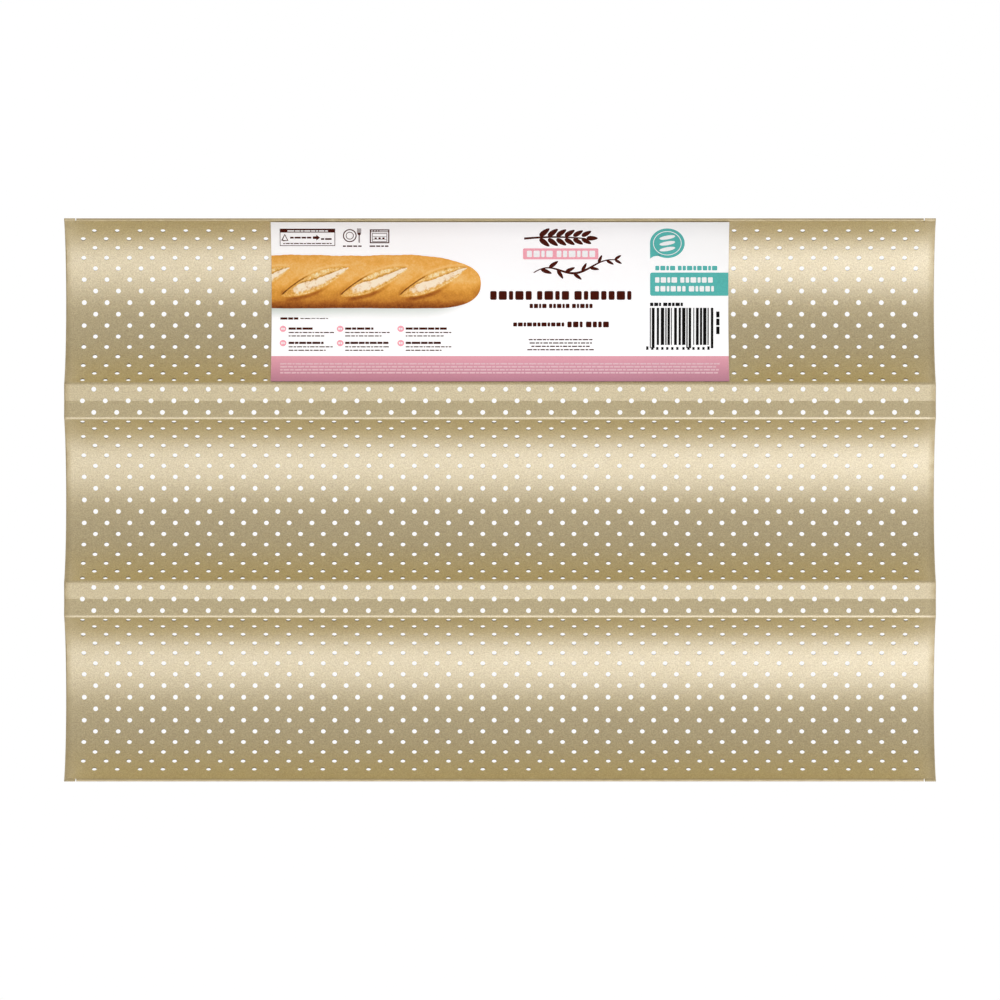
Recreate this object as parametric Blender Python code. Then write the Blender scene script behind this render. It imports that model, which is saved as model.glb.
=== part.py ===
"""Baguette tray: one thin steel sheet pressed into three channels and hemmed on all four edges,
with a loose printed card lying in the rear channel.

Frame: +X along the channels, +Y towards the channel that holds the card, +Z up, and the origin on
the surface that the tray stands on, under the middle of the tray. Metres.
"""

import math

import bmesh
import bpy

for old in list(bpy.data.objects):
    bpy.data.objects.remove(old, do_unlink=True)

# Overall size of the tray
TRAY_LENGTH = 0.383
TRAY_WIDTH = 0.2474
TRAY_HEIGHT = 0.0225

# Sheet and hems
SHEET = 0.0005
HEM_GAP = 0.0003
HEM_WIDTH = 0.0049
NOTCH_WIDTH = 0.00045
TAB_FLARE_RADIUS = 0.0011

# Ridges between the channels
RIDGE_HALF = 0.0070
RIDGE_TILT = math.radians(7.0)
BEND_RADIUS = 0.0012

# Card
CARD_LENGTH = 0.2015
CARD = 0.0004
CARD_GAP = 0.0003
CARD_CURL = math.radians(12.0)
CARD_EDGE_SETBACK = 0.0001

# Facets
CHANNEL_STEPS = 21
BEND_STEPS = 4
FOLD_STEPS = 6
FLARE_STEPS = 4
BAYS = 7
CARD_BAYS = 4

FOLD_RADIUS = (SHEET + HEM_GAP) / 2
FOLD_REACH = FOLD_RADIUS + SHEET / 2


def solve_section():
    """Channel pitch, wall angle, channel radius and straight lip that give the overall size.

    All lengths are on the middle of the sheet's thickness. The channel's arc meets each ridge in a
    bend that is level at the top, and each outer wall runs straight into its hem.
    """
    pitch = TRAY_WIDTH / 3
    radius = TRAY_WIDTH / 6
    wall = math.radians(60)
    lip = 0.0
    for _ in range(60):
        facet_sag = radius * (1 - math.cos(wall / CHANNEL_STEPS))
        bottom = 2 * FOLD_RADIUS + SHEET / 2 - facet_sag
        depth = TRAY_HEIGHT - SHEET / 2 - bottom
        reach = pitch / 2 - RIDGE_HALF * math.cos(RIDGE_TILT) - BEND_RADIUS * math.sin(RIDGE_TILT)
        wall = 2 * math.atan2(depth, reach)
        radius = reach / math.sin(wall) - BEND_RADIUS
        arc_top = bottom + radius * (1 - math.cos(wall))
        fold_rise = FOLD_REACH - FOLD_RADIUS * math.cos(wall)
        lip = (TRAY_HEIGHT - fold_rise - arc_top) / math.sin(wall)
        lip_reach = radius * math.sin(wall) + lip * math.cos(wall)
        outer = lip_reach + FOLD_RADIUS * math.sin(wall) + FOLD_REACH
        pitch = TRAY_WIDTH / 2 - outer
    return pitch, wall, radius, lip, bottom


PITCH, WALL, CHANNEL_RADIUS, LIP, BOTTOM = solve_section()


def march(start, runs):
    """Stations (y, z, heading) after each step of the runs, each (length, turn, steps).

    The heading is the angle above +Y, and a positive turn curves upwards.
    """
    y, z, heading = start
    stations = []
    for length, turn, steps in runs:
        for _ in range(steps):
            half = turn / steps / 2
            chord = length / steps * (math.sin(half) / half if abs(half) > 1e-9 else 1.0)
            heading += half
            y += chord * math.cos(heading)
            z += chord * math.sin(heading)
            heading += half
            stations.append((y, z, heading))
    return stations


def mirrored(stations):
    """The same stations on the other side of the middle plane, in reverse order."""
    return [(-y, z, -heading) for y, z, heading in reversed(stations)]


# Section of the sheet between the roots of its two long hems, from -Y to +Y
flare_start = TRAY_HEIGHT - SHEET / 2 - TAB_FLARE_RADIUS * (1 - math.cos(WALL))
arc_top = BOTTOM + CHANNEL_RADIUS * (1 - math.cos(WALL))
root = (flare_start - arc_top) / math.sin(WALL)
half_channel = CHANNEL_RADIUS * WALL
bend_turn = WALL + RIDGE_TILT
bend = (BEND_RADIUS * bend_turn, -bend_turn, BEND_STEPS)


def ridge_to_rim():
    """Stations from the crease of the +Y ridge, over its bend and the rear channel, to the hem root."""
    crease_drop = RIDGE_HALF * math.sin(RIDGE_TILT) + BEND_RADIUS * (1 - math.cos(RIDGE_TILT))
    crease = (PITCH / 2, TRAY_HEIGHT - SHEET / 2 - crease_drop, RIDGE_TILT)
    return march(
        crease,
        [
            (RIDGE_HALF, 0.0, 1),
            bend,
            (2 * half_channel, 2 * WALL, CHANNEL_STEPS),
            (root, 0.0, 1),
        ],
    )


def middle_to_ridge():
    """Stations from the middle channel's first facet past the middle, to the crease of the +Y ridge."""
    facet = 2 * WALL / CHANNEL_STEPS
    first = (
        CHANNEL_RADIUS * math.sin(facet / 2),
        BOTTOM + CHANNEL_RADIUS * (1 - math.cos(facet / 2)),
        facet / 2,
    )
    steps = (CHANNEL_STEPS - 1) // 2
    run = march(
        first,
        [
            (CHANNEL_RADIUS * facet * steps, facet * steps, steps),
            bend,
            (RIDGE_HALF, 0.0, 1),
        ],
    )
    y, z, _ = run[-1]
    run[-1] = (y, z, 0.0)
    return [first] + run


rear_half = middle_to_ridge() + ridge_to_rim()
section = mirrored(rear_half) + rear_half

# Long hem: the rest of the lip, a half turn outwards and down, and the strip lying along the wall
hem_strip = HEM_WIDTH - FOLD_REACH - LIP
hem = march(
    rear_half[-1],
    [
        (LIP - root, 0.0, 1),
        (math.pi * FOLD_RADIUS, -math.pi, FOLD_STEPS),
        (LIP, 0.0, 1),
        (hem_strip, -hem_strip / (CHANNEL_RADIUS + 2 * FOLD_RADIUS), 2),
    ],
)

# Corner tab: the sheet's unfolded edge, flared out until it is level
flare = march(rear_half[-1], [(TAB_FLARE_RADIUS * WALL, -WALL, FLARE_STEPS)])
tab = flare + march(flare[-1], [(TRAY_WIDTH / 2 - flare[-1][0], 0.0, 1)])


def length_stations():
    """Stations (x, drop, turn) along the length: drop is how far the sheet lies under the section,
    and turn is how far it has folded."""
    fold_x = TRAY_LENGTH / 2 - FOLD_REACH
    tab_x = TRAY_LENGTH / 2 - HEM_WIDTH
    hem_x = tab_x - NOTCH_WIDTH
    half = [(hem_x * (2 * k + 1) / BAYS, 0.0, 0.0) for k in range((BAYS + 1) // 2)]
    half += [(tab_x, 0.0, 0.0), (fold_x, 0.0, 0.0)]
    for k in range(1, FOLD_STEPS + 1):
        turn = math.pi * k / FOLD_STEPS
        half.append(
            (
                fold_x + FOLD_RADIUS * math.sin(turn),
                FOLD_RADIUS * (1 - math.cos(turn)),
                turn,
            )
        )
    half.append((tab_x, 2 * FOLD_RADIUS, math.pi))
    other = [(-x, drop, -turn) for x, drop, turn in reversed(half)]
    return other + half, hem_x, tab_x


def thick_sheet(name, columns, strips, thickness):
    """A closed body around a folded middle surface.

    columns: (x, drop, turn) stations. strips: (stations, flip, wanted) with a unique key for each
    station, where wanted says which columns the strip has.
    """
    mesh = bpy.data.meshes.new(name)
    bm = bmesh.new()
    layers = {}

    def corner(key, station, column):
        """The two vertices, above and below, where a station crosses a column."""
        if (key, column) not in layers:
            x, drop, turn = columns[column]
            y, z, heading = station
            up = (-math.sin(heading), math.cos(heading))
            normal = (math.sin(turn), math.cos(turn) * up[0], math.cos(turn) * up[1])
            middle = (x, y - drop * up[0], z - drop * up[1])
            pair = []
            for side in (thickness / 2, -thickness / 2):
                pair.append(bm.verts.new([m + side * n for m, n in zip(middle, normal)]))
            layers[(key, column)] = pair
        return layers[(key, column)]

    edges = {}
    for stations, flip, wanted in strips:
        for column in range(len(columns) - 1):
            if not wanted(column):
                continue
            for (key_a, a), (key_b, b) in zip(stations, stations[1:]):
                quad = [
                    corner(key_a, a, column),
                    corner(key_a, a, column + 1),
                    corner(key_b, b, column + 1),
                    corner(key_b, b, column),
                ]
                if flip:
                    quad.reverse()
                bm.faces.new([pair[0] for pair in quad])
                bm.faces.new([pair[1] for pair in reversed(quad)])
                for p, q in zip(quad, quad[1:] + quad[:1]):
                    edges.setdefault(frozenset((p[0], q[0])), []).append((p, q))
    for users in edges.values():
        if len(users) == 1:
            p, q = users[0]
            bm.faces.new([q[0], p[0], p[1], q[1]])
    bm.normal_update()
    bm.to_mesh(mesh)
    bm.free()
    mesh.shade_smooth()
    mesh.set_sharp_from_angle(angle=math.radians(35))
    return mesh


def place(name, mesh, material, location, parent):
    """One named object with its material."""
    piece = bpy.data.objects.new(name, mesh)
    mesh.materials.append(material)
    piece.location = location
    piece.parent = parent
    bpy.context.scene.collection.objects.link(piece)
    return piece


def surface(name, colour, roughness, metallic):
    """A Principled material."""
    material = bpy.data.materials.new(name)
    material.use_nodes = True
    shader = material.node_tree.nodes["Principled BSDF"]
    shader.inputs["Base Color"].default_value = (*colour, 1.0)
    shader.inputs["Roughness"].default_value = roughness
    shader.inputs["Metallic"].default_value = metallic
    return material


def keyed(label, stations):
    """Stations with a unique key each."""
    return [((label, k), station) for k, station in enumerate(stations)]


tray_root = bpy.data.objects.new("baguette_tray_root", None)
bpy.context.scene.collection.objects.link(tray_root)

# The tray: the section swept along the length, with hems between the notches and tabs past them
columns, hem_x, tab_x = length_stations()


def hemmed(column):
    """True between the two notches."""
    return max(abs(columns[column][0]), abs(columns[column + 1][0])) < hem_x + 1e-9


def tabbed(column):
    """True from each notch to the end of the tray, and round its end hem."""
    return min(abs(columns[column][0]), abs(columns[column + 1][0])) > tab_x - 1e-9


main_strip = keyed("section", section)
rear_edge, front_edge = main_strip[-1], main_strip[0]


def front(stations):
    """The same strip on the -Y side, from the section outwards."""
    return [(-y, z, -heading) for y, z, heading in stations]


strips = [
    (main_strip, False, lambda column: True),
    ([rear_edge] + keyed("rear hem", hem), False, hemmed),
    ([rear_edge] + keyed("rear tab", tab), False, tabbed),
    ([front_edge] + keyed("front hem", front(hem)), True, hemmed),
    ([front_edge] + keyed("front tab", front(tab)), True, tabbed),
]
coating = surface("champagne_coating", (0.52, 0.43, 0.26), 0.38, 0.9)
place("tray_sheet", thick_sheet("tray_sheet", columns, strips, SHEET), coating, (0, 0, 0), tray_root)

# The card: it follows the rear channel at a small gap, a little way over the ridge's bend and up
# to the rear hem
card_lift = (SHEET + CARD) / 2 + CARD_GAP
card_radius = CHANNEL_RADIUS - card_lift
card_y = card_radius * math.sin(WALL)
card_z = BOTTOM + CHANNEL_RADIUS - card_radius * math.cos(WALL)
lower_edge = mirrored(
    march((card_y, card_z, WALL), [((BEND_RADIUS + card_lift) * CARD_CURL, -CARD_CURL, 2)])
)
channel_arc = [(-card_y, card_z, -WALL)] + march(
    (-card_y, card_z, -WALL), [(2 * card_radius * WALL, 2 * WALL, CHANNEL_STEPS)]
)
upper_edge = march(channel_arc[-1], [(LIP - CARD_EDGE_SETBACK, 0.0, 1)])
card_bottom = BOTTOM + CHANNEL_RADIUS - card_radius
card_section = [
    (y, z - card_bottom, heading) for y, z, heading in lower_edge + channel_arc + upper_edge
]
card_columns = [(CARD_LENGTH * (k / CARD_BAYS - 0.5), 0.0, 0.0) for k in range(CARD_BAYS + 1)]
card_strips = [(keyed("card", card_section), False, lambda column: True)]
print_stock = surface("white_card", (0.9, 0.9, 0.9), 0.55, 0.0)
place(
    "label_card",
    thick_sheet("label_card", card_columns, card_strips, CARD),
    print_stock,
    (0, PITCH, card_bottom),
    tray_root,
)
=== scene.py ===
import math

import bmesh
import bpy
import numpy as np
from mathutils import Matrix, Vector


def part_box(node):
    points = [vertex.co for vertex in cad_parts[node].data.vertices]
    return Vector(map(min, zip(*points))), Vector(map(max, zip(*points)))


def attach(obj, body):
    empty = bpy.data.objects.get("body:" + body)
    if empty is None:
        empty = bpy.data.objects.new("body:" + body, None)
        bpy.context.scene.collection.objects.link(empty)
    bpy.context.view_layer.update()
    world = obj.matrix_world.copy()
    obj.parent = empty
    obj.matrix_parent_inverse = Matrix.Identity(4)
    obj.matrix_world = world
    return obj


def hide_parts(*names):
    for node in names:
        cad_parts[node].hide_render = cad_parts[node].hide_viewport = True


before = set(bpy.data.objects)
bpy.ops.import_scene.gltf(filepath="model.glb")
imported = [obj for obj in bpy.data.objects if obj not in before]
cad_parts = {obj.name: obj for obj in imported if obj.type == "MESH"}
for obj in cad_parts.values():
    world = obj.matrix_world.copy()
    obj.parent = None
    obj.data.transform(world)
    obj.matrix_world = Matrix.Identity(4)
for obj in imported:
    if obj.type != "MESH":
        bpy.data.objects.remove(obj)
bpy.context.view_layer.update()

MM = 0.001

# -------------------- sizes that come from the frame

SHEET_LOW, SHEET_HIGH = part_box("tray_sheet")
CARD_LOW, CARD_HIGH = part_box("label_card")
TRAY_LENGTH = SHEET_HIGH[0] - SHEET_LOW[0]
TRAY_WIDTH = SHEET_HIGH[1] - SHEET_LOW[1]
TRAY_HEIGHT = SHEET_HIGH[2]
CARD_LENGTH = CARD_HIGH[0] - CARD_LOW[0]

# -------------------- sizes of the sheet's details

SHEET = 0.5 * MM            # thickness
HEM_GAP = 0.3 * MM          # between the two layers of a hem
HEM_WIDTH = 4.9 * MM
NOTCH_WIDTH = 0.45 * MM     # between a long hem and the corner tab beside it
TAB_FLARE_RADIUS = 1.1 * MM
RIDGE_HALF = 7.0 * MM
RIDGE_TILT = math.radians(7.0)
BEND_RADIUS = 1.2 * MM
FOLD_RADIUS = (SHEET + HEM_GAP) / 2
FOLD_REACH = FOLD_RADIUS + SHEET / 2
FOLD_STEPS = 8
BEND_STEPS = 5
SECTION_PASSES = 60         # each brings the pitch nearer to the one that gives the tray's width

HOLE_RADIUS = 1.075 * MM
HOLE_SIDES = 16
HOLES_IN_ROW = 37
HOLE_PITCH = 10.05 * MM     # along a row; the next row is shifted by half of it
PATTERN_SHIFT = -0.05 * MM  # how far the whole pattern sits to the right
ROWS_TO_BEND = 8            # the last row before a ridge's first bend, from a channel's middle
ROWS_TO_CREASE = 10         # the row that lies on the crease of a ridge
LAST_ROW = 27

CARD = 0.4 * MM
CARD_GAP = 0.3 * MM
CARD_CURL = math.radians(12.0)
CARD_SETBACK = 0.1 * MM     # between the card's upper edge and the fold of the hem


def solve_section():
    """Pitch, wall angle, channel radius, straight lip and bottom height for the frame's size."""
    bottom = 2 * FOLD_RADIUS + SHEET / 2
    depth = TRAY_HEIGHT - SHEET / 2 - bottom
    pitch = TRAY_WIDTH / 3
    for _ in range(SECTION_PASSES):
        reach = pitch / 2 - RIDGE_HALF * math.cos(RIDGE_TILT) - BEND_RADIUS * math.sin(RIDGE_TILT)
        wall = 2 * math.atan2(depth, reach)
        radius = reach / math.sin(wall) - BEND_RADIUS
        arc_top = bottom + radius * (1 - math.cos(wall))
        lip = (TRAY_HEIGHT - FOLD_REACH + FOLD_RADIUS * math.cos(wall) - arc_top) / math.sin(wall)
        lip_reach = radius * math.sin(wall) + lip * math.cos(wall)
        pitch = TRAY_WIDTH / 2 - lip_reach - FOLD_RADIUS * math.sin(wall) - FOLD_REACH
    return pitch, wall, radius, lip, bottom


PITCH, WALL, CHANNEL_RADIUS, LIP, BOTTOM = solve_section()


class Path:
    """A curve in the (y, z) plane made of straight runs and arcs, measured along its length."""

    def __init__(self, start, runs, length=0.0):
        """start is (y, z, heading); runs are (length, turn), and a run of no length is a crease."""
        y, z, heading = start
        rows = []
        for run, turn in runs:
            if run > 0:
                bend = turn / run
                rows.append((length, y, z, heading, bend))
                if abs(bend) < 1e-9:
                    y += run * math.cos(heading)
                    z += run * math.sin(heading)
                else:
                    y += (math.sin(heading + turn) - math.sin(heading)) / bend
                    z -= (math.cos(heading + turn) - math.cos(heading)) / bend
                length += run
            heading += turn
        self.rows = np.array(rows)
        self.end, self.length = (y, z, heading), length

    def at(self, s):
        """Positions y, z and headings at the lengths s, taken as the same on both sides of 0."""
        side = np.where(s < 0, -1.0, 1.0)
        s = np.abs(s)
        row = self.rows[np.clip(np.searchsorted(self.rows[:, 0], s, side="right") - 1, 0, None)]
        start, y, z, heading, bend = row.T
        along = s - start
        flat = np.abs(bend) < 1e-9
        safe = np.where(flat, 1.0, bend)
        turned = heading + bend * along
        y = y + np.where(flat, along * np.cos(heading), (np.sin(turned) - np.sin(heading)) / safe)
        z = z + np.where(flat, along * np.sin(heading), -(np.cos(turned) - np.cos(heading)) / safe)
        return side * y, z, side * turned


HALF_ARC = CHANNEL_RADIUS * WALL
BEND_TURN = WALL + RIDGE_TILT
BEND_LENGTH = BEND_RADIUS * BEND_TURN
CREASE_AT = HALF_ARC + BEND_LENGTH + RIDGE_HALF
FLARE_Z = TRAY_HEIGHT - SHEET / 2 - TAB_FLARE_RADIUS * (1 - math.cos(WALL))
ROOT = (FLARE_Z - BOTTOM - CHANNEL_RADIUS * (1 - math.cos(WALL))) / math.sin(WALL)
main_runs = [
    (HALF_ARC, WALL),
    (BEND_LENGTH, -BEND_TURN),
    (RIDGE_HALF, 0.0),
    (0.0, 2 * RIDGE_TILT),
    (RIDGE_HALF, 0.0),
    (BEND_LENGTH, -BEND_TURN),
    (2 * HALF_ARC, 2 * WALL),
    (ROOT, 0.0),
]
SECTION = Path((0.0, BOTTOM, 0.0), main_runs)
HEM_STRIP = HEM_WIDTH - FOLD_REACH - LIP
HEM = Path(
    SECTION.end,
    [
        (LIP - ROOT, 0.0),
        (math.pi * FOLD_RADIUS, -math.pi),
        (LIP, 0.0),
        (HEM_STRIP, -HEM_STRIP / (CHANNEL_RADIUS + 2 * FOLD_RADIUS)),
    ],
    SECTION.length,
)
FLARE = Path(SECTION.end, [(TAB_FLARE_RADIUS * WALL, -WALL)], SECTION.length)
TAB = Path(
    SECTION.end,
    [(TAB_FLARE_RADIUS * WALL, -WALL), (TRAY_WIDTH / 2 - FLARE.end[0], 0.0)],
    SECTION.length,
)
PATHS = (SECTION, HEM, TAB)

FOLD_X = TRAY_LENGTH / 2 - FOLD_REACH
TAB_X = TRAY_LENGTH / 2 - HEM_WIDTH
HEM_X = TAB_X - NOTCH_WIDTH
END_U = FOLD_X + math.pi * FOLD_RADIUS + FOLD_X - TAB_X


def on_sheet(u, v, kind):
    """Middle-surface points and upward normals of blank points (u, v), folded as the sheet is."""
    y, z, heading = (np.empty(len(u)) for _ in range(3))
    for k, path in enumerate(PATHS):
        here = kind == k
        y[here], z[here], heading[here] = path.at(v[here])
    side, past = np.sign(u), np.abs(u) - FOLD_X
    turn = np.clip(past / FOLD_RADIUS, 0.0, math.pi)
    back = np.clip(past - math.pi * FOLD_RADIUS, 0.0, None)
    x = side * (np.minimum(np.abs(u), FOLD_X) + FOLD_RADIUS * np.sin(turn) - back)
    drop = FOLD_RADIUS * (1 - np.cos(turn))
    up_y, up_z = -np.sin(heading), np.cos(heading)
    points = np.stack([x, y - drop * up_y, z - drop * up_z], axis=1)
    normals = np.stack([side * np.sin(turn), np.cos(turn) * up_y, np.cos(turn) * up_z], axis=1)
    return points, normals


# Half sections of the card from the middle of its channel: up to the rim, and over the ridge's bend
CARD_LIFT = (SHEET + CARD) / 2 + CARD_GAP
CARD_ARC = (CHANNEL_RADIUS - CARD_LIFT) * WALL
CARD_TO_RIM = Path((0.0, BOTTOM + CARD_LIFT, 0.0), [(CARD_ARC, WALL), (LIP - CARD_SETBACK, 0.0)])
CARD_TO_RIDGE = Path(
    (0.0, BOTTOM + CARD_LIFT, 0.0),
    [(CARD_ARC, WALL), ((BEND_RADIUS + CARD_LIFT) * CARD_CURL, -CARD_CURL)],
)


def on_card(s):
    """Positions y, z and headings on the card's middle surface, s along it towards the rim."""
    rim, ridge = CARD_TO_RIM.at(s), CARD_TO_RIDGE.at(s)
    y, z, heading = (np.where(s > 0, a, b) for a, b in zip(rim, ridge))
    return y + PITCH, z, heading


class Blank:
    """The flat sheet before folding, as faces over points (u, v, kind of rim)."""

    def __init__(self):
        self.index, self.points, self.faces, self.holes = {}, [], [], []

    def point(self, u, v, kind=0):
        """The number of the point there; points less than 0.1 micrometre apart are one."""
        key = (round(u * 1e7), round(v * 1e7), kind)
        if key not in self.index:
            self.index[key] = len(self.points)
            self.points.append((u, v, kind))
        return self.index[key]

    def face(self, *corners):
        self.faces.append(corners)

    def grid(self, us, vs, kind=0, shared=None):
        """Quads over a grid. Points on the line v = shared belong to the main sheet."""
        us, vs = sorted(us), sorted(vs)
        for v0, v1 in zip(vs, vs[1:]):
            k0 = 0 if shared is not None and abs(v0 - shared) < 1e-9 else kind
            k1 = 0 if shared is not None and abs(v1 - shared) < 1e-9 else kind
            for u0, u1 in zip(us, us[1:]):
                self.face(
                    self.point(u0, v0, k0),
                    self.point(u1, v0, k0),
                    self.point(u1, v1, k1),
                    self.point(u0, v1, k1),
                )

    def zip(self, low, high, v0, v1):
        """Triangles between two lines of points that end at the same u."""
        i = j = 0
        while i < len(low) - 1 or j < len(high) - 1:
            left = low[i + 1] if i < len(low) - 1 else math.inf
            right = high[j + 1] if j < len(high) - 1 else math.inf
            a, b = self.point(low[i], v0), self.point(high[j], v1)
            if left <= right:
                self.face(a, self.point(low[i + 1], v0), b)
                i += 1
            else:
                self.face(a, self.point(high[j + 1], v1), b)
                j += 1

    def cell(self, u, v, v0, v1):
        """One hole, and the sheet out to the edges of its cell."""
        half = HOLE_PITCH / 2
        rim = [
            (u + half, v), (u + half, v1), (u, v1), (u - half, v1),
            (u - half, v), (u - half, v0), (u, v0), (u + half, v0),
        ]
        rim_angle = [math.atan2(b - v, a - u) % (2 * math.pi) for a, b in rim] + [2 * math.pi]
        turn = [2 * math.pi * k / HOLE_SIDES for k in range(HOLE_SIDES + 1)]
        hole = [
            self.point(u + HOLE_RADIUS * math.cos(t), v + HOLE_RADIUS * math.sin(t))
            for t in turn[:-1]
        ]
        outer = [self.point(a, b) for a, b in rim]
        i = j = 0
        while i < 8 or j < HOLE_SIDES:
            if j == HOLE_SIDES or (i < 8 and rim_angle[i + 1] <= turn[j + 1] + 1e-9):
                self.face(outer[i], outer[(i + 1) % 8], hole[j % HOLE_SIDES])
                i += 1
            else:
                self.face(outer[i % 8], hole[(j + 1) % HOLE_SIDES], hole[j % HOLE_SIDES])
                j += 1
        self.holes.append((hole, (u, v)))


def spaced(start, stop, steps):
    return [start + (stop - start) * k / steps for k in range(steps + 1)]


def draw_blank():
    """The whole sheet's blank, with its holes, hems, notches and corner tabs."""
    blank = Blank()
    row_pitch = CREASE_AT / ROWS_TO_CREASE
    half = HOLE_PITCH / 2

    # Cell edges between rows, for one side: a bend has a band of its own between two rows
    band_low, band_high = HALF_ARC, HALF_ARC + BEND_LENGTH
    bands = [(band_low, band_high), (2 * CREASE_AT - band_high, 2 * CREASE_AT - band_low)]
    rows = range(LAST_ROW + 1)
    limits = [[(row - 0.5) * row_pitch, (row + 0.5) * row_pitch] for row in rows]
    for row, band in zip((ROWS_TO_BEND, 2 * ROWS_TO_CREASE - ROWS_TO_BEND - 1), bands):
        limits[row][1], limits[row + 1][0] = band
    last = limits[LAST_ROW][1]
    arc_end = 2 * CREASE_AT + HALF_ARC
    root = SECTION.length

    first_u = -HOLE_PITCH / 4 + PATTERN_SHIFT - HOLE_PITCH * HOLES_IN_ROW / 2
    lines = [first_u + half * k for k in range(2 * HOLES_IN_ROW + 2)]
    fold_us = [FOLD_X + math.pi * FOLD_RADIUS * k / FOLD_STEPS for k in range(FOLD_STEPS + 1)]
    fold_us += [FOLD_X + math.pi * FOLD_RADIUS + 2 * MM, END_U]
    full_line = [-FOLD_X] + lines + [FOLD_X]

    def fold_ends(vs):
        for end in (1, -1):
            blank.grid([end * u for u in fold_us], vs)

    for side in (1, -1):
        for row in rows if side > 0 else rows[1:]:
            v0, v1 = sorted(side * limit for limit in limits[row])
            v = side * row * row_pitch
            odd = row % 2
            start = first_u + half * odd
            for k in range(HOLES_IN_ROW):
                blank.cell(start + half + HOLE_PITCH * k, v, v0, v1)
            # what is left of the row beside its first and last cells
            blank.grid([-FOLD_X, lines[0]], [v0, v, v1])
            blank.grid([lines[-1], FOLD_X], [v0, v, v1])
            blank.grid(lines[:2] if odd else lines[-2:], [v0, v, v1])
            fold_ends([v0, v, v1])
        plain = [spaced(*band, BEND_STEPS) for band in bands] + [spaced(last, arc_end, 2)]
        for vs in plain:
            vs = [side * v for v in vs]
            blank.grid(full_line, vs)
            fold_ends(vs)
        # the top of the wall, where the corner notches begin
        inner = [u for u in lines if abs(u) < HEM_X - half / 2]
        top_line = [-FOLD_X, -TAB_X, -HEM_X] + inner + [HEM_X, TAB_X, FOLD_X]
        if side > 0:
            blank.zip(full_line, top_line, arc_end, root)
        else:
            blank.zip(top_line, full_line, -root, -arc_end)
        fold_ends([side * arc_end, side * root])
        fold_start = root + LIP - ROOT
        hem_vs = [root] + spaced(fold_start, fold_start + math.pi * FOLD_RADIUS, FOLD_STEPS)
        strip = hem_vs[-1] + LIP
        hem_vs += [strip, strip + HEM_STRIP / 2, strip + HEM_STRIP]
        blank.grid([-HEM_X] + inner + [HEM_X], [side * v for v in hem_vs], 1, side * root)
        flare_end = root + TAB_FLARE_RADIUS * WALL
        tab_vs = spaced(root, flare_end, BEND_STEPS) + [TAB.length]
        for end in (1, -1):
            us = [end * u for u in [TAB_X, FOLD_X]]
            blank.grid(us, [side * v for v in tab_vs], 2, side * root)
            blank.grid([end * u for u in fold_us], [side * v for v in tab_vs], 2, side * root)
    return blank


def thicken(name, points, normals, faces, face_normals, holes, thickness):
    """A closed sheet of faces over a middle surface, with exact normals."""
    count = len(points)
    verts = np.concatenate([points + normals * thickness / 2, points - normals * thickness / 2])
    polys = list(faces) + [tuple(i + count for i in reversed(face)) for face in faces]
    loop_normals = [n for around in face_normals for n in around]
    loop_normals += [-n for around in face_normals for n in reversed(around)]
    used = dict.fromkeys((a, b) for face in faces for a, b in zip(face, face[1:] + face[:1]))
    hole_of = {i: centre for ring, centre in holes for i in ring}
    slots = [0] * len(polys)
    for a, b in used:
        if (b, a) in used:
            continue
        polys.append((b, a, a + count, b + count))
        slots.append(int(a in hole_of))
        if a in hole_of:
            inward = [hole_of[i] - points[i] for i in (b, a, a, b)]
            loop_normals.extend(n / np.linalg.norm(n) for n in inward)
        else:
            flat = np.cross(points[b] - points[a], normals[a] + normals[b])
            flat /= np.linalg.norm(flat)
            loop_normals.extend([flat] * 4)
    mesh = bpy.data.meshes.new(name)
    mesh.from_pydata(verts.tolist(), [], polys)
    mesh.update()
    mesh.shade_smooth()
    mesh.polygons.foreach_set("material_index", slots)
    mesh.normals_split_custom_set([tuple(float(c) for c in n) for n in loop_normals])
    return mesh


def build_sheet():
    blank = draw_blank()
    u, v, kind = np.array(blank.points).T
    kind = kind.astype(int)
    points, normals = on_sheet(u, v, kind)
    # each face's corners take the normal just inside that face, so that creases stay sharp
    sizes = [len(f) for f in blank.faces]
    flat = np.concatenate([np.array(f) for f in blank.faces])
    owner = np.repeat(np.arange(len(sizes)), sizes)
    centre_u = np.bincount(owner, u[flat]) / sizes
    centre_v = np.bincount(owner, v[flat]) / sizes
    face_kind = np.maximum.reduceat(kind[flat], np.concatenate([[0], np.cumsum(sizes)[:-1]]))
    inward = 1e-3
    _, corner = on_sheet(
        u[flat] * (1 - inward) + centre_u[owner] * inward,
        v[flat] * (1 - inward) + centre_v[owner] * inward,
        face_kind[owner],
    )
    around = np.split(corner, np.cumsum(sizes)[:-1])
    centres = np.array([c for _, c in blank.holes])
    centre_points, _ = on_sheet(centres[:, 0], centres[:, 1], np.zeros(len(centres), int))
    holes = [(ring, centre_points[k]) for k, (ring, _) in enumerate(blank.holes)]
    mesh = thicken("perforated_sheet", points, normals, blank.faces, around, holes, SHEET)
    # the folds of the hems and the tabs' flares, which the coating makes rougher and darkens as
    # painted shade
    paint(mesh, edge=(np.abs(u) > FOLD_X - HEM_GAP) | (kind > 0))
    return mesh


def put_in_scene(name, data):
    """An object of this mesh or camera."""
    made = bpy.data.objects.new(name, data)
    bpy.context.scene.collection.objects.link(made)
    return made


def paint(mesh, **values):
    """Name numbers for a thickened mesh's material, one for each middle-surface point."""
    for name, numbers in values.items():
        layer = mesh.attributes.new(name, "FLOAT", "POINT")
        layer.data.foreach_set("value", np.tile(numbers, 2).astype(np.float32))


def add(name, mesh, body, slot, *materials):
    """A piece of the object, riding on its body."""
    piece = put_in_scene(name, mesh)
    for material in materials:
        mesh.materials.append(material)
    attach(piece, body)
    return piece


# -------------------- materials

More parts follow.
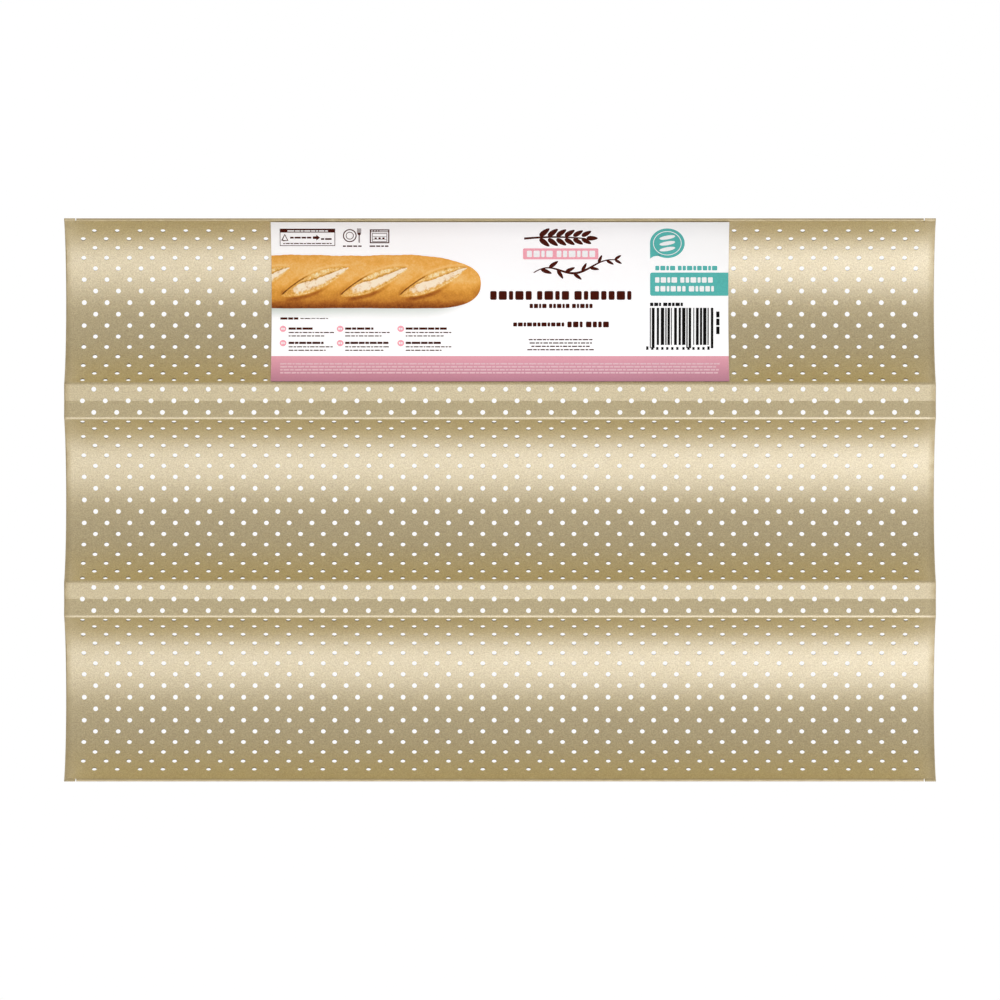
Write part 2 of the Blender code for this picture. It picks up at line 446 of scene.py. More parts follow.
class Shader:
    """A Principled material with short ways to add nodes to it."""

    def __init__(self, name, colour, roughness, **sockets):
        self.material = bpy.data.materials.new(name)
        self.material.use_nodes = True
        self.tree = self.material.node_tree
        self.bsdf = self.tree.nodes["Principled BSDF"]
        self.bsdf.inputs["Base Color"].default_value = (*colour, 1.0)
        self.bsdf.inputs["Roughness"].default_value = roughness
        for socket, value in sockets.items():
            self.bsdf.inputs[socket.replace("_", " ")].default_value = value
        self.place = self.node("TexCoord").outputs["Object"]

    def node(self, kind, **values):
        """A node with its inputs set: a socket is linked, anything else is a value."""
        made = self.tree.nodes.new("ShaderNode" + kind)
        for name, value in values.items():
            self.put(made.inputs[name.replace("_", " ")], value)
        return made

    def put(self, socket, value):
        if isinstance(value, bpy.types.NodeSocket):
            self.tree.links.new(value, socket)
        else:
            socket.default_value = value

    def noise(self, scale, detail=1.0, stretch=(1.0, 1.0, 1.0)):
        """Noise between about 0.25 and 0.75, with features of 1 / scale metres."""
        at = self.node("Mapping", Vector=self.place, Scale=stretch).outputs[0]
        return self.node("TexNoise", Vector=at, Scale=scale, Detail=detail).outputs["Fac"]

    def ramp(self, value, low, high, to_low, to_high):
        """Value taken from low..high to to_low..to_high."""
        made = self.node("MapRange", Value=value)
        names = ("From Min", "From Max", "To Min", "To Max")
        for name, number in zip(names, (low, high, to_low, to_high)):
            made.inputs[name].default_value = number
        return made.outputs[0]

    def vary(self, noise, low, high):
        """Noise spread out to the whole of low..high."""
        return self.ramp(noise, 0.3, 0.7, low, high)

    def blend(self, share, low, high):
        """Colour between low and high."""
        made = self.tree.nodes.new("ShaderNodeMix")
        made.data_type = "RGBA"
        self.put(made.inputs["Factor"], share)
        self.put(made.inputs[6], low if isinstance(low, bpy.types.NodeSocket) else (*low, 1.0))
        self.put(made.inputs[7], high if isinstance(high, bpy.types.NodeSocket) else (*high, 1.0))
        return made.outputs[2]

    def pick(self, value, stops):
        """The colour at value along stops of (position, colour)."""
        made = self.node("ValToRGB", Fac=value)
        elements = made.color_ramp.elements
        while len(elements) < len(stops):
            elements.new(0.5)
        for element, (position, colour) in zip(elements, stops):
            element.position = position
            element.color = (*colour, 1.0)
        return made.outputs[0]

    def maths(self, operation, a, b):
        made = self.tree.nodes.new("ShaderNodeMath")
        made.operation = operation
        self.put(made.inputs[0], a)
        self.put(made.inputs[1], b)
        return made.outputs[0]

    def mix_of(self, a, share_a, b, share_b):
        """The sum of a and b, each times its share."""
        first, second = self.maths("MULTIPLY", a, share_a), self.maths("MULTIPLY", b, share_b)
        return self.maths("ADD", first, second)

    def attribute(self, name):
        made = self.tree.nodes.new("ShaderNodeAttribute")
        made.attribute_name = name
        return made.outputs["Fac"]

    def colour(self, socket):
        self.put(self.bsdf.inputs["Base Color"], socket)

    def roughness(self, socket):
        self.put(self.bsdf.inputs["Roughness"], socket)

    def only_emit(self, strength):
        """Make the material an emitter and nothing else."""
        glow = self.node("Emission", Strength=strength)
        self.tree.links.new(glow.outputs[0], self.tree.nodes["Material Output"].inputs[0])

    def glow(self, strength):
        """Let the surface give off a little white light of its own."""
        self.bsdf.inputs["Emission Color"].default_value = (1, 1, 1, 1)
        self.bsdf.inputs["Emission Strength"].default_value = strength

    def bump(self, height, depth, strength=1.0):
        made = self.node("Bump", Height=height, Distance=depth, Strength=strength)
        self.put(self.bsdf.inputs["Normal"], made.outputs[0])


def coating():
    """Champagne non-stick coating: fine metal flake, faint cloudiness, rougher on the folds and
    darker there as painted shade.
    """
    coat = Shader("champagne_nonstick", (0.38, 0.28, 0.097), 0.38, IOR=2.6)
    cloud = coat.vary(coat.noise(45.0, 3.0), 0.0, 1.0)
    base = coat.blend(cloud, (0.381, 0.280, 0.080), (0.401, 0.296, 0.090))
    flake = coat.noise(2000.0)
    dull = coat.blend(0.5, base, (0.21, 0.105, 0.0))
    bright = coat.blend(0.5, base, (0.57, 0.465, 0.20))
    flaked = coat.blend(coat.vary(flake, 0.0, 1.0), dull, bright)
    # painted shade: in patches over the folds the colour darkens towards deep brown, and the
    # roughness rises
    fold_patches = coat.vary(coat.noise(260.0, 2.0), 0.5, 1.0)
    fold_dulling_and_shade = coat.maths("MULTIPLY", fold_patches, coat.attribute("edge"))
    coat.colour(coat.blend(fold_dulling_and_shade, flaked, (0.27, 0.175, 0.02)))
    patchy = coat.vary(coat.noise(120.0, 2.0), 0.36, 0.40)
    coat.roughness(coat.maths("ADD", patchy, coat.maths("MULTIPLY", fold_dulling_and_shade, 0.25)))
    coat.bump(flake, 0.12 * MM, 0.6)
    return coat.material


def cut_edge():
    """The wall of a punched hole: darker brown, as painted shade inside the hole."""
    edge = Shader("coated_hole_wall", (0.15, 0.115, 0.05), 0.5)
    edge.colour(edge.blend(edge.noise(900.0), (0.11, 0.08, 0.03), (0.20, 0.155, 0.075)))
    edge.bump(edge.noise(2400.0), 0.05 * MM)
    return edge.material


# -------------------- the card and its print
#
# The print is drawn flat, in millimetres from the middle of the card as seen from straight above
# (x to the right, c towards the rim), and laid on the card's curved face as thin films of ink.
# It holds no lettering: rows of bars stand where a retail card has its text.

INK_FILM = 0.03 * MM            # thickness
INK_CLEARANCE = 0.012 * MM      # between the card and the ink on it
LAYER_STEP = 1.4 * INK_FILM     # from one layer of ink to the next
STRIP = 1.2                     # the ink is cut into strips this wide so that it follows the curve
GRAZE = 0.002                   # edges of the ink shorter than this are dropped
PRINT_SHIFT = 0.9               # how far the print's middle lies towards the rim
PRINT_SPREAD = 0.005            # how much longer the print is along the card's lowest line


def card_surface(c, lift):
    """Height and heading at c metres from the card's middle, lift above its upper face."""
    s = np.linspace(-CARD_TO_RIDGE.length - 1 * MM, CARD_TO_RIM.length + 1 * MM, 600)
    y, z, heading = on_card(s)
    out = CARD / 2 + lift
    line = y - np.sin(heading) * out - PITCH
    return np.interp(c, line, z + np.cos(heading) * out), np.interp(c, line, heading)


EDGES = on_card(np.array([-CARD_TO_RIDGE.length, CARD_TO_RIM.length]))[0]
CARD_BOTTOM, CARD_TOP = (EDGES - PITCH) / MM
CARD_SIDE = CARD_LENGTH / 2 / MM
PRINT_SIDE = CARD_SIDE - 0.02   # print that runs off the card ends this far from its middle
BAND_TOP = -24.2                # upper edge of the pink band
BULLETS = [(x, c) for x in (-95.4, -70.2, -43.6) for c in (-12.4, -18.6)]
CARD_GLOW = 0.08                # painted light: the card's board and the loaf's printed shadow give off a little light of their own, to keep the white bright


class Ink:
    """Flat shapes of one ink, in millimetres (x, c)."""

    def __init__(self):
        self.shapes = []

    def polygon(self, points):
        self.shapes.append(list(points))

    def bar(self, x0, x1, c0, c1):
        self.polygon([(x0, c0), (x1, c0), (x1, c1), (x0, c1)])

    def disc(self, x, c, rx, rc=None, steps=40):
        rc = rx if rc is None else rc
        turns = [2 * math.pi * k / steps for k in range(steps)]
        self.polygon([(x + rx * math.cos(t), c + rc * math.sin(t)) for t in turns])

    def ring(self, x, c, rx, rc, width, steps=48):
        turns = [2 * math.pi * k / steps for k in range(steps + 1)]
        for a, b in zip(turns, turns[1:]):
            self.polygon(
                [
                    (x + r * math.cos(t), c + (r - rx + rc) * math.sin(t))
                    for r, t in ((rx - width, a), (rx, a), (rx, b), (rx - width, b))
                ]
            )

    def rounded(self, x0, x1, c0, c1, radius, corners=(1, 1, 1, 1)):
        """A bar with rounded corners: lower left, lower right, upper right, upper left."""
        points = []
        spots = [(x0, c0, 180), (x1, c0, 270), (x1, c1, 0), (x0, c1, 90)]
        for (x, c, start), wanted in zip(spots, corners):
            r = radius if wanted else 0.0
            x += r if x == x0 else -r
            c += r if c == c0 else -r
            for k in range(7 if wanted else 1):
                t = math.radians(start + 15 * k)
                points.append((x + r * math.cos(t), c + r * math.sin(t)))
        self.polygon(points)

    def frame(self, x0, x1, c0, c1, width):
        self.bar(x0, x1, c0, c0 + width)
        self.bar(x0, x1, c1 - width, c1)
        self.bar(x0, x0 + width, c0 + width, c1 - width)
        self.bar(x1 - width, x1, c0 + width, c1 - width)

    def stroke(self, points, width):
        """A line of the given width, or with width(share along it), with flat ends."""
        sides = []
        count = len(points) - 1
        for k, (x, c) in enumerate(points):
            ax, ac = points[max(k - 1, 0)]
            bx, bc = points[min(k + 1, count)]
            size = math.hypot(bx - ax, bc - ac)
            half = (width(k / count) if callable(width) else width) / 2
            nx, nc = -(bc - ac) / size * half, (bx - ax) / size * half
            sides.append(((x + nx, c + nc), (x - nx, c - nc)))
        for (a, b), (d, e) in zip(sides, sides[1:]):
            self.polygon([a, b, e, d])

    def words(self, x0, x1, c, height, word=4.0, gap=0.55, upright=False):
        """A row of bars of uneven length, centred on c, in place of a line of small text."""
        x, k = x0, 0
        while x1 - x > height:
            share = (k * 0.618 + abs(x0) * 0.37 + abs(c) * 0.11) % 1.0
            end = min(x + height * (1.6 + word * share), x1)
            if x1 - end < height:
                end = x1
            if upright:
                self.bar(c - height / 2, c + height / 2, x, end)
            else:
                self.bar(x, end, c - height / 2, c + height / 2)
            x = end + gap * height
            k += 1

    def blocks(self, x0, x1, c, height, sizes):
        """A row of rounded blocks in groups, which stands in for a line of large text."""
        gap, space = 0.24 * height, 0.6 * height
        free = x1 - x0 - gap * (sum(sizes) - len(sizes)) - space * (len(sizes) - 1)
        shares = [1.0 + 0.35 * math.sin(2.4 * k) for k in range(sum(sizes))]
        x, k = x0, 0
        for size in sizes:
            for _ in range(size):
                width = free * shares[k] / sum(shares)
                self.rounded(x, x + width, c - height / 2, c + height / 2, 0.16 * height)
                x += width + gap
                k += 1
            x += space - gap


def film(name, points, faces, layer):
    """A closed film of ink over flat points (x, c) in millimetres."""
    x, c = np.array(points).T
    depth = 1 - (c / CARD_TOP) ** 2
    spread = PRINT_SPREAD * depth * (1 - (x / CARD_SIDE) ** 24)
    flat = np.stack([x * (1 + spread), c + PRINT_SHIFT * depth], 1) * MM
    lift = (INK_CLEARANCE + INK_FILM / 2) + (layer - 1) * LAYER_STEP
    z, heading = card_surface(flat[:, 1], lift)
    spots = np.stack([flat[:, 0], PITCH + flat[:, 1], z], axis=1)
    normals = np.stack([0 * z, -np.sin(heading), np.cos(heading)], axis=1)
    around = [[normals[i] for i in face] for face in faces]
    return thicken(name, spots, normals, faces, around, [], INK_FILM)


def printed(name, ink, material, layer=1):
    """One ink's shapes as a piece on the card."""
    bm = bmesh.new()
    for shape in ink.shapes:
        bm.faces.new([bm.verts.new((x, c, 0)) for x, c in shape])
    lines = np.arange(math.ceil(CARD_BOTTOM / STRIP), CARD_TOP / STRIP) * STRIP
    for line in lines:
        everything = bm.verts[:] + bm.edges[:] + bm.faces[:]
        bmesh.ops.bisect_plane(bm, geom=everything, plane_co=(0, line, 0), plane_no=(0, 1, 0))
    # a cut that grazes a shape's own corner leaves an edge of no length
    bmesh.ops.dissolve_degenerate(bm, dist=GRAZE, edges=bm.edges)
    bmesh.ops.recalc_face_normals(bm, faces=bm.faces)
    bm.normal_update()
    points = [tuple(v.co[:2]) for v in bm.verts]
    bm.verts.index_update()
    faces = []
    for face in bm.faces:
        ring = [v.index for v in face.verts]
        faces.append(tuple(ring if face.normal.z > 0 else reversed(ring)))
    bm.free()
    return add(name, film(name, points, faces, layer), "card", "white_card", material)


def build_card():
    """The card itself: stiff white board, bent to the channel, its long edges trimmed upright."""
    s = np.concatenate(
        [
            np.linspace(-CARD_TO_RIDGE.length, -CARD_ARC, 4),
            np.linspace(-CARD_ARC, CARD_ARC, 61)[1:],
            [CARD_TO_RIM.length],
        ]
    )
    x = np.linspace(-CARD_LENGTH / 2, CARD_LENGTH / 2, 25)
    y, z, heading = on_card(s)
    points = np.array([(a, b, c) for b, c in zip(y, z) for a in x])
    normals = np.array([(0, -math.sin(h), math.cos(h)) for h in heading for _ in x])
    faces = []
    for row in range(len(s) - 1):
        for k in range(len(x) - 1):
            a = row * len(x) + k
            faces.append((a, a + 1, a + 1 + len(x), a + len(x)))
    around = [[normals[i].copy() for i in face] for face in faces]
    for row, h in ((0, heading[0]), (-1, heading[-1])):
        normals.reshape(len(s), len(x), 3)[row] = (0, 0, 1 / math.cos(h))
    mesh = thicken("printed_card", points, normals, faces, around, [], CARD)
    card = add("printed_card", mesh, "card", "white_card", board())
    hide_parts("label_card")


def board():
    """White coated board: a faint fibre texture, a satin surface, and painted shade greying it
    along its upper edge.
    """
    paper = Shader("white_card_board", (0.98, 0.98, 0.98), 0.5, Specular_IOR_Level=0.12)
    # painted light: the board glows faintly
    paper.glow(CARD_GLOW)
    fibre = paper.noise(900.0, 3.0, (1.0, 2.5, 1.0))
    # painted shade: greyer over the 7 mm below the upper edge, where the card curls up the
    # channel's wall
    y = paper.node("SeparateXYZ", Vector=paper.place).outputs["Y"]
    top = PITCH + CARD_TOP * MM
    shade = paper.ramp(y, top - 7 * MM, top, 0.0, 1.0)
    shaded = paper.blend(shade, (0.99, 0.99, 0.99), (0.86, 0.86, 0.865))
    paper.colour(paper.blend(paper.vary(fibre, 0.0, 0.02), shaded, (0.5, 0.5, 0.5)))
    paper.roughness(paper.vary(paper.noise(140.0, 2.0), 0.45, 0.55))
    paper.bump(fibre, 0.02 * MM, 0.5)
    return paper.material


def ink(name, colour, roughness=0.4):
    """A printing ink: nearly even, with the slight mottle of ink on board."""
    made = Shader("ink_" + name, colour, roughness, Specular_IOR_Level=0.04)
    light = tuple(min(1.0, c * 1.06 + 0.001) for c in colour)
    dark = tuple(c * 0.93 for c in colour)
    made.colour(made.blend(made.vary(made.noise(1400.0, 2.0), 0.0, 1.0), dark, light))
    made.roughness(made.vary(made.noise(200.0), roughness - 0.04, roughness + 0.04))
    return made.material


def pink_band_ink():
    """The band along the card's lower edge, darker towards the edge as painted shade on the steep
    part of the card.
    """
    made = Shader("ink_pink_band", (0.72, 0.36, 0.43), 0.4, Specular_IOR_Level=0.12)
    y = made.node("SeparateXYZ", Vector=made.place).outputs["Y"]
    low, high = PITCH + CARD_BOTTOM * MM, PITCH + BAND_TOP * MM
    # painted shade: the pink darkens towards the card's lower edge
    depth = made.ramp(y, low, high, 0.0, 1.0)
    mottle = made.vary(made.noise(1400.0, 2.0), -0.05, 0.05)
    share = made.maths("ADD", depth, mottle)
    made.colour(made.blend(share, (0.47, 0.20, 0.27), (0.78, 0.36, 0.43)))
    return made.material


def draw_brown(brown):
    """Dark brown print: recycling box, pictograms, emblem, flourish, titles and small print."""
    # box at the upper left: a headed frame with a small loop sign, an arrow and words
    brown.frame(-96.8, -72.4, 24.3, 32.0, 0.28)
    brown.bar(-96.5, -72.7, 30.3, 31.75)
    brown.stroke([(-95.9, 26.7), (-94.6, 29.4), (-93.2, 26.7), (-95.5, 26.7)], 0.55)
    brown.words(-92.2, -82.9, 28.0, 0.75, 2.4)
    brown.bar(-82.2, -80.7, 27.45, 28.55)
    brown.polygon([(-80.7, 26.7), (-79.1, 28.0), (-80.7, 29.3)])
    brown.words(-78.6, -74.0, 27.4, 0.75, 2.4)
    brown.words(-95.3, -73.9, 25.4, 0.42, 4.0, 0.8)
    # plate and fork
    brown.ring(-66.0, 28.9, 3.0, 2.9, 0.45)
    brown.ring(-66.0, 28.9, 1.75, 1.7, 0.3)
    for k in range(4):
        x = -62.6 + 0.48 * k
        brown.bar(x - 0.13, x + 0.13, 30.2, 32.1)
    brown.polygon([(-62.75, 30.2), (-61.02, 30.2), (-61.35, 29.2), (-62.4, 29.2)])
    brown.bar(-62.1, -61.65, 25.8, 29.2)
    brown.words(-69.0, -60.8, 24.2, 0.6, 3.0, 0.7)
    # oven
    brown.frame(-57.2, -48.6, 25.5, 31.7, 0.5)
    brown.bar(-56.8, -49.0, 30.5, 30.8)
    for k in range(3):
        brown.disc(-55.6 + 1.2 * k, 31.05, 0.2, steps=12)
    brown.frame(-56.2, -49.6, 26.2, 30.0, 0.22)
    for k in range(2):
        brown.bar(-55.9, -49.9, 27.2 + 1.1 * k, 27.4 + 1.1 * k)
    for k in range(3):
        brown.disc(-54.6 + 1.7 * k, 27.75, 0.55, 0.32, steps=20)
    brown.words(-57.3, -49.0, 24.2, 0.6, 3.0, 0.7)
    # material line and the six short entries
    brown.words(-96.6, -88.6, -7.9, 1.0, 2.6, 0.35)
    brown.words(-87.6, -75.5, -7.9, 0.5, 4.0, 0.8)
    for x, widths in ((-92.9, (10.6, 15.4)), (-68.0, (12.4, 19.0)), (-41.4, (18.0, 15.4))):
        for top, width in zip((-12.3, -18.5), widths):
            brown.words(x, x + width, top, 0.95, 2.4, 0.35)
            brown.words(x, x + 20.0, top - 1.7, 0.45, 4.0, 0.9)
            brown.words(x, x + 14.4 + width / 8, top - 3.2, 0.45, 4.0, 0.9)
    # emblem: a lying ear of wheat
    stem = [(10.6 + 27.0 * k / 24, 27.6 + 0.7 * math.sin(math.pi * k / 24)) for k in range(25)]
    brown.stroke(stem, lambda share: 0.95 - 0.45 * share)
    for k in range(6):
        for side in (1, -1):
            angle, length = side * (38 - 2 * k), 5.5 - 0.15 * k
            leaf(brown, 17.4 + 3.7 * k, 28.1 + side * 0.6, angle, length, 0.44)
    leaf(brown, 38.0, 27.75, 0, 5.0, 0.44)
    # a sprig under the pink bar
    wave = []
    for k in range(91):
        share = k / 90
        lift = 2.4 * math.sin(2.6 * math.pi * share + 0.4) * (1 - 0.3 * share)
        wave.append((14.8 + 36.0 * share, 11.4 + 5.4 * share + lift))
    brown.stroke(wave, lambda share: 0.45 + 0.55 * math.sin(math.pi * share) ** 2)
    for k in range(8, 90, 9):
        (x, c), (x1, c1) = wave[k], wave[k + 1]
        along = math.degrees(math.atan2(c1 - c, x1 - x))
        side = 1 if k // 9 % 2 else -1
        leaf(brown, x, c + side * 0.15, along + side * 40, 5.2 - 0.02 * k, 0.38)
    leaf(brown, wave[-1][0] - 0.3, wave[-1][1], -30, 3.4, 0.38)
    # titles and small print
    brown.blocks(-4.3, 57.7, 2.25, 3.9, (5, 4, 7))
    brown.blocks(13.0, 40.6, -2.4, 1.9, (4, 5, 5))
    brown.blocks(5.8, 28.2, -10.5, 1.7, (11,))
    brown.blocks(29.6, 47.8, -10.5, 2.5, (3, 4))
    for k, (x0, x1) in enumerate(((12.6, 40.6), (13.0, 40.4), (13.8, 39.4), (12.0, 41.2))):
        brown.words(x0, x1, -17.1 - 1.45 * k, 0.5, 3.5, 0.8)


def leaf(brown, x, c, degrees, length, plump):
    """A pointed leaf, or a grain, from its foot at (x, c) at an angle to the right."""
    turn = math.radians(degrees)
    points = []
    for k in range(15):
        t = 2 * math.pi * k / 15
        along = length * (1 - math.cos(t)) / 2
        across = plump / 2 * length * math.sin(t) * (1.2 - 0.55 * along / length)
        points.append(
            (
                x + along * math.cos(turn) - across * math.sin(turn),
                c + along * math.sin(turn) + across * math.cos(turn),
            )
        )
    brown.polygon(points)


def print_card():
    """All the print on the card, one piece for each ink and layer."""
    brown = Ink()
    draw_brown(brown)
    printed("print_brown", brown, ink("brown", (0.055, 0.005, 0.001)))

    pink = Ink()
    pink.rounded(10.1, 43.2, 18.3, 23.2, 0.6)
    for x, c in BULLETS:
        pink.disc(x, c, 1.47, 1.35, steps=28)
    printed("print_pink", pink, ink("pink", (0.95, 0.40, 0.48)))

    band = Ink()
    band.bar(-PRINT_SIDE, PRINT_SIDE, CARD_BOTTOM, BAND_TOP)
    printed("print_pink_band", band, pink_band_ink())

    teal = Ink()
    teal.disc(73.5, 25.5, 7.64, 6.6, steps=72)
    tail = [(65.9, 25.3), (65.9, 18.6), (67.4, 19.6), (69.4, 19.9), (72.0, 19.2), (70.0, 25.0)]
    teal.polygon(tail)
    teal.blocks(68.2, 95.5, 14.4, 2.0, (4, 8))
    teal.rounded(65.9, PRINT_SIDE, 2.1, 12.4, 0.9, (1, 0, 0, 1))
    printed("print_teal", teal, ink("teal", (0.103, 0.49, 0.455)))

    black = Ink()
    black.blocks(65.9, 80.3, -1.7, 1.5, (3, 5))
    draw_barcode(black)
    black.words(-14.7, -3.2, 95.8, 1.5, 0.6, 0.35, upright=True)
    printed("print_black", black, ink("black", (0.004, 0.0035, 0.0035)))

    white = Ink()
    white.ring(73.5, 25.5, 6.25, 5.4, 0.3, steps=72)
    for k in (-1, 0, 1):
        lean = [(70.1 + 6.8 * j / 12, 24.9 + 2.6 * k + 1.2 * j / 12) for j in range(13)]
        white.stroke(lean, lambda share: 0.35 + 1.35 * max(math.sin(math.pi * share), 0) ** 0.5)
    white.blocks(68.1, 93.5, 9.1, 2.4, (4, 6))
    white.blocks(68.1, 94.0, 5.2, 2.4, (6, 5))
    white.blocks(11.8, 41.8, 20.75, 2.9, (4, 6))
    white.words(-93.4, -75.6, 31.0, 0.55)
    for x, c in BULLETS:
        white.bar(x - 0.8, x - 0.1, c - 0.4, c + 0.4)
        white.bar(x + 0.15, x + 0.8, c - 0.4, c + 0.4)
    printed("print_white", white, ink("white", (0.99, 0.99, 0.99)), 2)

    pale = Ink()
    for k, (x0, x1) in enumerate(((-96.6, 96.6), (-96.6, 95.0), (-96.6, 96.2), (-96.6, 95.8))):
        pale.words(x0, x1, -27.5 - 1.28 * k, 0.6, 4.0, 0.6)
    printed("print_pale_pink", pale, ink("pale_pink", (0.76, 0.50, 0.55)), 2)

    print_loaf()
    print_loaf_shadow()


def draw_barcode(black):
    """Bars of made-up widths, which encode nothing, with a row of upright ticks under them."""
    x, k, end = 65.8, 0, 93.9
    while x < end - 0.3:
        width = (0.4, 1.1, 0.7, 1.5, 0.4, 0.8)[k * 7 % 6] + 0.15 * (k % 3)
        guard = k in (0, 1, 10, 11) or x > end - 2.4
        black.bar(x, min(x + width, end), -20.8 if guard else -19.4, -3.2)
        x += width + (0.45, 0.75, 0.4, 0.95, 0.5)[k * 3 % 5]
        k += 1
    for k in range(13):
        x = 64.2 + 2.2 * k + (0.5 if k > 6 else 0.0)
        black.bar(x, x + 1.0, -21.5, -20.0 if k in (0, 12) else -20.3)


# The picture of a loaf: it runs in from the card's left edge to its round tip
LOAF_TIP = -8.4
# slashes in the crust: even, leaning lens shapes, from a low foot to a high far end
SLASH_COUNT = 4
SLASH_LENGTH = 30.0
SLASH_STEP = 26.0
SLASH_TO_TIP = 6.0              # from the last slash to the tip
SLASH_LOW, SLASH_HIGH = 2.0, 14.5
SLASH_HALF_WIDTH = 4.2


def smooth(low, high, value):
    share = np.clip((value - low) / (high - low), 0.0, 1.0)
    return share * share * (3 - 2 * share)


def ridge(value, centre, width):
    return np.exp(-(((value - centre) / width) ** 2))


def loaf_outline(x):
    """Lower and upper edge of the loaf at x."""
    above = np.clip((LOAF_TIP - x) / 36.0, 0.0, 1.0)
    below = np.clip((LOAF_TIP - x) / 20.0, 0.0, 1.0)
    uneven = 0.22 * np.sin(x * 0.13 + 0.6) + 0.10 * np.sin(x * 0.47 + 1.0) + 0.05 * np.sin(x * 1.9)
    top = 7.6 + (12.5 + uneven) * (1 - (1 - above) ** 2.4) ** (1 / 2.4)
    return 7.6 - (11.0 + 0.3 * uneven) * (1 - (1 - below) ** 2.4) ** (1 / 2.4), top


def loaf_patch():
    """Points (x, c) over the loaf, the share v across it, and how many points there are across."""
    body, tip = np.linspace(-PRINT_SIDE, -20.0, 210), np.linspace(-20.0, LOAF_TIP - 0.01, 50)
    along = np.concatenate([body, tip[1:]])
    across = np.linspace(0.0, 1.0, 65)
    low, high = loaf_outline(along)
    x = np.repeat(along, len(across))
    v = np.tile(across, len(along))
    c = np.repeat(low, len(across)) * (1 - v) + np.repeat(high, len(across)) * v
    return x, c, v, len(across)


def patch_faces(count, across):
    return [
        (a, a + across, a + across + 1, a + 1)
        for a in range(count - across)
        if (a + 1) % across
    ]


def print_loaf():
    """The printed loaf, as a fine patch whose points carry its light, crumb and flour."""
    x, c, v, across = loaf_patch()
    wobble = 0.5 * np.sin(x * 1.7 + c) + 0.3 * np.sin(x * 3.1 - 1.6 * c)
    wobble = wobble + 0.2 * np.sin(5.3 * x + 2.2 * c)
    light = 0.73 - 0.28 * smooth(8.5, 1.5, c) - 0.36 * smooth(1.5, -3.2, c)
    light += 0.05 * smooth(0.93, 0.80, v) - 0.06 * smooth(0.96, 1.0, v)
    light -= 0.16 * smooth(LOAF_TIP - 4.5, LOAF_TIP, x) * smooth(12.0, 5.0, c)
    crumb, flour = np.zeros_like(x), np.zeros_like(x)
    for k in range(SLASH_COUNT):
        foot = LOAF_TIP - SLASH_TO_TIP - SLASH_LENGTH - SLASH_STEP * k
        share = np.clip((x - foot) / SLASH_LENGTH, 0.0, 1.0)
        within = (x > foot) & (x < foot + SLASH_LENGTH)
        middle = SLASH_LOW + (SLASH_HIGH - SLASH_LOW) * share
        half = SLASH_HALF_WIDTH * np.sin(np.pi * share) ** 0.8
        lower, upper = middle - half, middle + half
        deep = (c - lower) / np.maximum(upper - lower, 0.1)
        inside = within * smooth(-0.02, 0.06, deep) * smooth(1.02, 0.97, deep)
        # the opened dough is golden near the foot and paler further on
        light = light * (1 - inside) + inside * (0.66 + 0.04 * wobble)
        crumb = np.maximum(crumb, inside * (0.45 + 0.55 * smooth(0.05, 0.3, share)))
        # dusted flour between a rough shelf above and the lower lip
        shelf = 0.80 - 0.16 * smooth(0.25, 0.5, share) + 0.16 * smooth(0.75, 1.0, share)
        shelf = shelf + 0.025 * wobble
        floured = smooth(0.18, 0.36, share + 0.12 * deep + 0.04 * wobble)
        floured = floured * smooth(0.10, 0.34, deep + 0.06 * wobble)
        floured = floured * smooth(shelf, shelf - 0.05, deep)
        flour = np.maximum(flour, inside * floured)
        light += inside * 0.10 * smooth(shelf + 0.02, shelf + 0.12, deep) * smooth(0.15, 0.3, share)
        light -= inside * 0.30 * ridge(deep, shelf + 0.02, 0.045) * smooth(0.2, 0.35, share)
        # the crack along the upper edge, deep near the foot, and the crust standing up beside it
        over = c - upper
        crack = 0.70 * smooth(0.46, 0.30, share) + 0.16
        light -= within * crack * ridge(over, -0.1, 0.28) * smooth(0.0, 0.04, share)
        light -= within * 0.12 * ridge(over, 1.2, 1.1) * smooth(0.5, 0.1, share)
        light += within * 0.10 * ridge(over, 0.9, 0.5) * smooth(0.15, 0.4, share)
        # the lower lip catches light and shades the crust under it
        under = c - lower
        light += within * 0.14 * ridge(under, 0.35, 0.35) * smooth(0.05, 0.3, share)
        shaded = ridge(under, -0.9, 0.9) * smooth(0.02, 0.2, share) * smooth(0.85, 0.55, share)
        light -= within * 0.26 * shaded
    mesh = film("print_loaf", np.stack([x, c], 1), patch_faces(len(x), across), 2)
    paint(mesh, light=light, crumb=crumb, flour=flour)
    add("print_loaf", mesh, "card", "white_card", loaf_ink())


def print_loaf_shadow():
    """The soft shadow that the loaf throws on the printed page."""
    end, across = LOAF_TIP + 2.0, 17
    along = np.linspace(-PRINT_SIDE, end, 120)
    base, _ = loaf_outline(np.minimum(along, LOAF_TIP - 2.5))
    depth = 7.4 * np.clip((end - along) / 26.0, 0.02, 1.0) ** 0.5
    x = np.repeat(along, across)
    v = np.tile(np.linspace(1.0, 0.0, across), len(along))
    c = np.repeat(base + 1.6, across) - v * np.repeat(depth, across)
    tone = smooth(1.0, 0.1, v) * smooth(end, end - 24.0, x) * (1 - 0.25 * smooth(-100.0, -30.0, x))
    mesh = film("print_loaf_shadow", np.stack([x, c], 1), patch_faces(len(x), across), 1)
    paint(mesh, tone=tone)
    add("print_loaf_shadow", mesh, "card", "white_card", shadow_ink())


